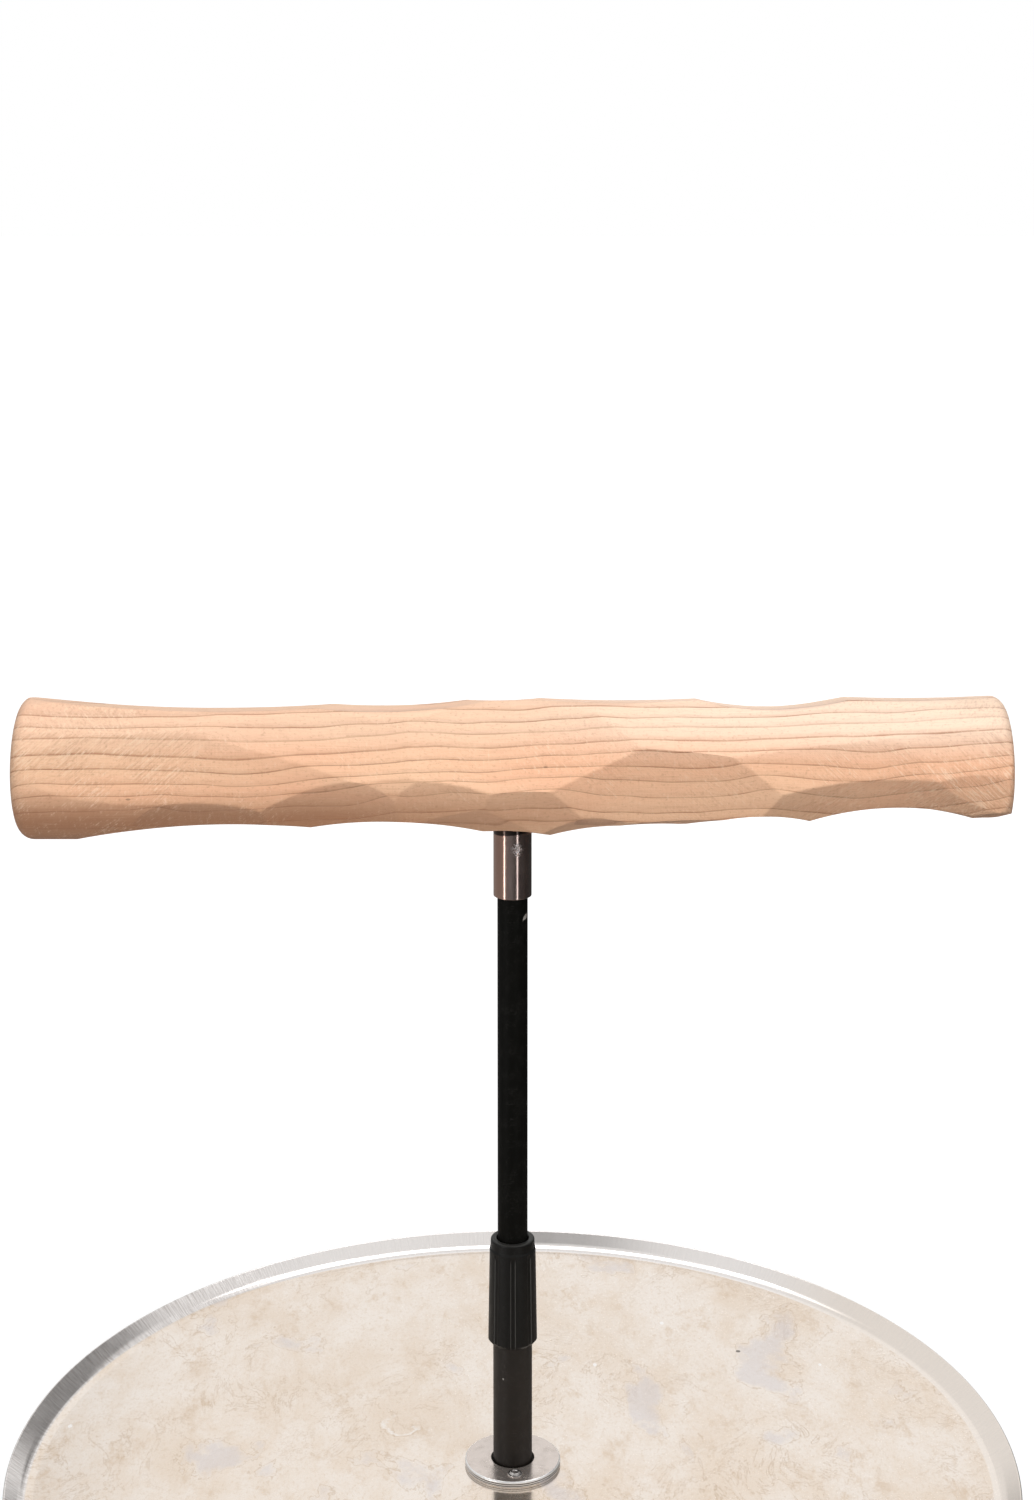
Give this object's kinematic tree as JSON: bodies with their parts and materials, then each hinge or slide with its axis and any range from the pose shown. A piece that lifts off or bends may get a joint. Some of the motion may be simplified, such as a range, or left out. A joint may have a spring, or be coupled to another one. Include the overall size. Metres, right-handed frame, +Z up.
{
  "type": "bird perch stand",
  "caption": "Tabletop T-shaped perch for a large bird: carved timber bar on a twist-lock height-adjustable pole, rising from a round waste tray on a weighted base.",
  "frame": {"origin": "on the floor, in the middle of the round tray, on the pole's axis", "axes": "+Z up along the pole, +X along the perch bar at rest, -Y towards the front"},
  "size_m": [0.6469, 0.6468, 0.5253],
  "materials": {
    "pad_rubber": "moulded black rubber",
    "base_enamel": "sand-cast iron under black textured enamel",
    "plated_steel": "zinc-plated steel",
    "tray_metal": "spun aluminium, water-stained and scratched",
    "disc_metal": "turned and polished aluminium",
    "rivet_metal": "bright aluminium",
    "tube_black": "satin black powder coat",
    "upper_tube_black": "satin black coating, slightly worn",
    "insert_metal": "machined, plain",
    "lock_brass": "turned brass",
    "collet_plastic": "natural acetal",
    "collar_plastic": "moulded black nylon",
    "ferrule_steel": "turned stainless steel, satin",
    "carved_wood": "bare sanded softwood"
  },
  "bodies": {
    "base": {"base_pads": "pad_rubber", "base_casting": "base_enamel", "pole_screw": "plated_steel", "screw_washer": "plated_steel", "tray": "tray_metal", "pole_disc": "disc_metal", "disc_rivets": "rivet_metal", "rivet_mandrels": "plated_steel", "lower_tube": "tube_black", "tube_foot_insert": "insert_metal", "lock_body": "lock_brass", "lock_collet": "collet_plastic"},
    "glide": {"tube_glide": "collet_plastic"},
    "mast": {"upper_tube": "upper_tube_black", "end_plug": "collar_plastic", "tube_top_insert": "insert_metal", "perch_ferrule": "ferrule_steel", "hanger_bolt": "plated_steel", "ferrule_nut": "plated_steel", "perch_bar": "carved_wood"},
    "ring": {"thrust_ring": "plated_steel"},
    "collar": {"lock_collar": "collar_plastic"}
  },
  "joints": [
    {"name": "height_slide", "type": "slide", "parent": "base", "child": "glide", "axis": [0, 0, 1], "range_m": [-0.065, 0.0145]},
    {"name": "perch_swivel", "type": "hinge", "parent": "glide", "child": "mast", "pos_m": [0, 0, 0.107], "axis": [0, 0, 1], "continuous": true},
    {"name": "collar_lift", "type": "slide", "parent": "base", "child": "ring", "axis": [0, 0, 1], "range_m": [0, 0.0015]},
    {"name": "collar_turn", "type": "hinge", "parent": "ring", "child": "collar", "pos_m": [0, 0, 0.1679], "axis": [0, 0, 1], "range_deg": [0, 180]}
  ],
  "couplings": [
    {"joint": "collar_lift", "follows": "collar_turn", "m_per_rad": 0.000477}
  ]
}
